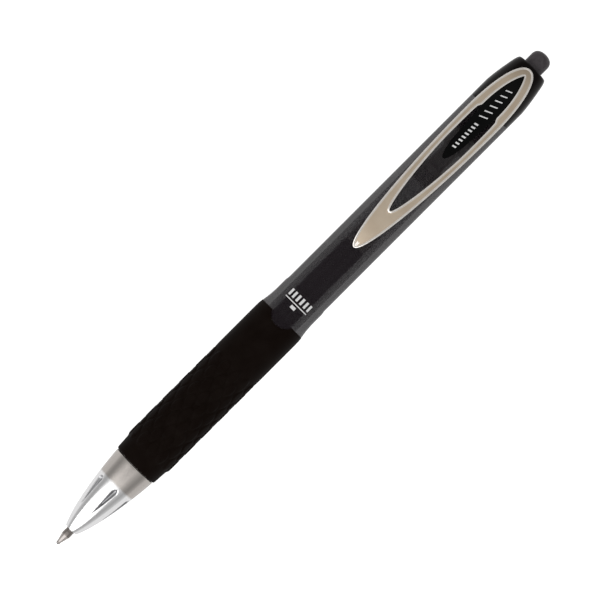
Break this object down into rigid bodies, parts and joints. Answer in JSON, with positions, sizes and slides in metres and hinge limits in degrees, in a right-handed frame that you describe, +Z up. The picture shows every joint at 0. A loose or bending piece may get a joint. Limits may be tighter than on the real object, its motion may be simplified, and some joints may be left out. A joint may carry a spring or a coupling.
{
  "type": "retractable gel pen",
  "caption": "Click-action gel pen with a fluted metal nose, ringed rubber grip, smoked clear barrel, windowed metal clip and domed push button.",
  "frame": {"origin": "on the surface the pen lies on, under the middle of its length", "axes": "+X along the pen from the writing point to the push button, +Z up through the clip"},
  "size_m": [0.144, 0.0116, 0.014],
  "materials": {
    "nose_metal": "bright plated metal",
    "spring_steel": "drawn wire",
    "smoked_plastic": "clear smoked gloss",
    "grip_rubber": "matte",
    "black_plastic": "gloss",
    "clip_metal": "satin warm silver",
    "insert_plastic": "high gloss",
    "button_plastic": "clear smoked gloss",
    "white_plastic": "moulded",
    "clear_tube": "clear",
    "gel_ink": "wet black",
    "follower_grease": "clear grease",
    "point_steel": "turned",
    "ball_metal": "polished"
  },
  "bodies": {
    "pen_body": {"barrel": "smoked_plastic", "grip_sleeve": "grip_rubber", "collar": "black_plastic", "guide_sleeve": "white_plastic", "clip_insert": "insert_plastic"},
    "clip": {"clip_frame": "clip_metal"},
    "nose_carrier": {"return_spring": "spring_steel"},
    "nose": {"nose_cone": "nose_metal"},
    "knock": {"knock_button": "button_plastic", "thrust_tube": "white_plastic"},
    "refill": {"refill_tube": "clear_tube", "refill_plug": "white_plastic", "ink_column": "gel_ink", "ink_follower": "follower_grease", "tip_holder": "white_plastic", "point_tip": "point_steel", "ball_spring": "spring_steel"},
    "rotor": {"cam_rotor": "white_plastic"},
    "valve": {"check_ball": "spring_steel"},
    "ball": {"writing_ball": "ball_metal"}
  },
  "joints": [
    {"name": "knock_slide", "type": "slide", "parent": "pen_body", "child": "knock", "axis": [1, 0, 0], "range_m": [-0.0016, 0.0055], "stiffness_N_per_m": 250, "deforming": ["return_spring"]},
    {"name": "refill_slide", "type": "slide", "parent": "pen_body", "child": "refill", "axis": [1, 0, 0], "range_m": [-0.0016, 0.0055]},
    {"name": "rotor_turn", "type": "hinge", "parent": "refill", "child": "rotor", "pos_m": [0.045, 0, 0.00572], "axis": [1, 0, 0], "continuous": true},
    {"name": "valve_slide", "type": "slide", "parent": "refill", "child": "valve", "axis": [1, 0, 0], "range_m": [0, 0.0004]},
    {"name": "ball_roll", "type": "hinge", "parent": "refill", "child": "ball", "pos_m": [-0.07165, 0, 0.00572], "axis": [0, 1, 0], "continuous": true},
    {"name": "nose_travel", "type": "slide", "parent": "pen_body", "child": "nose_carrier", "axis": [-1, 0, 0], "range_m": [0, 0.005]},
    {"name": "nose_turn", "type": "hinge", "parent": "nose_carrier", "child": "nose", "pos_m": [-0.06, 0, 0.00572], "axis": [-1, 0, 0], "range_deg": [0, 1800]},
    {"name": "clip_flex", "type": "hinge", "parent": "pen_body", "child": "clip", "pos_m": [0.06575, 0, 0.01072], "axis": [0, 1, 0], "range_deg": [0, 4], "stiffness_Nm_per_rad": 3.4}
  ],
  "couplings": [
    {"joint": "refill_slide", "follows": "knock_slide", "ratio": 1},
    {"joint": "nose_travel", "follows": "nose_turn", "m_per_rad": 0.00015915}
  ]
}
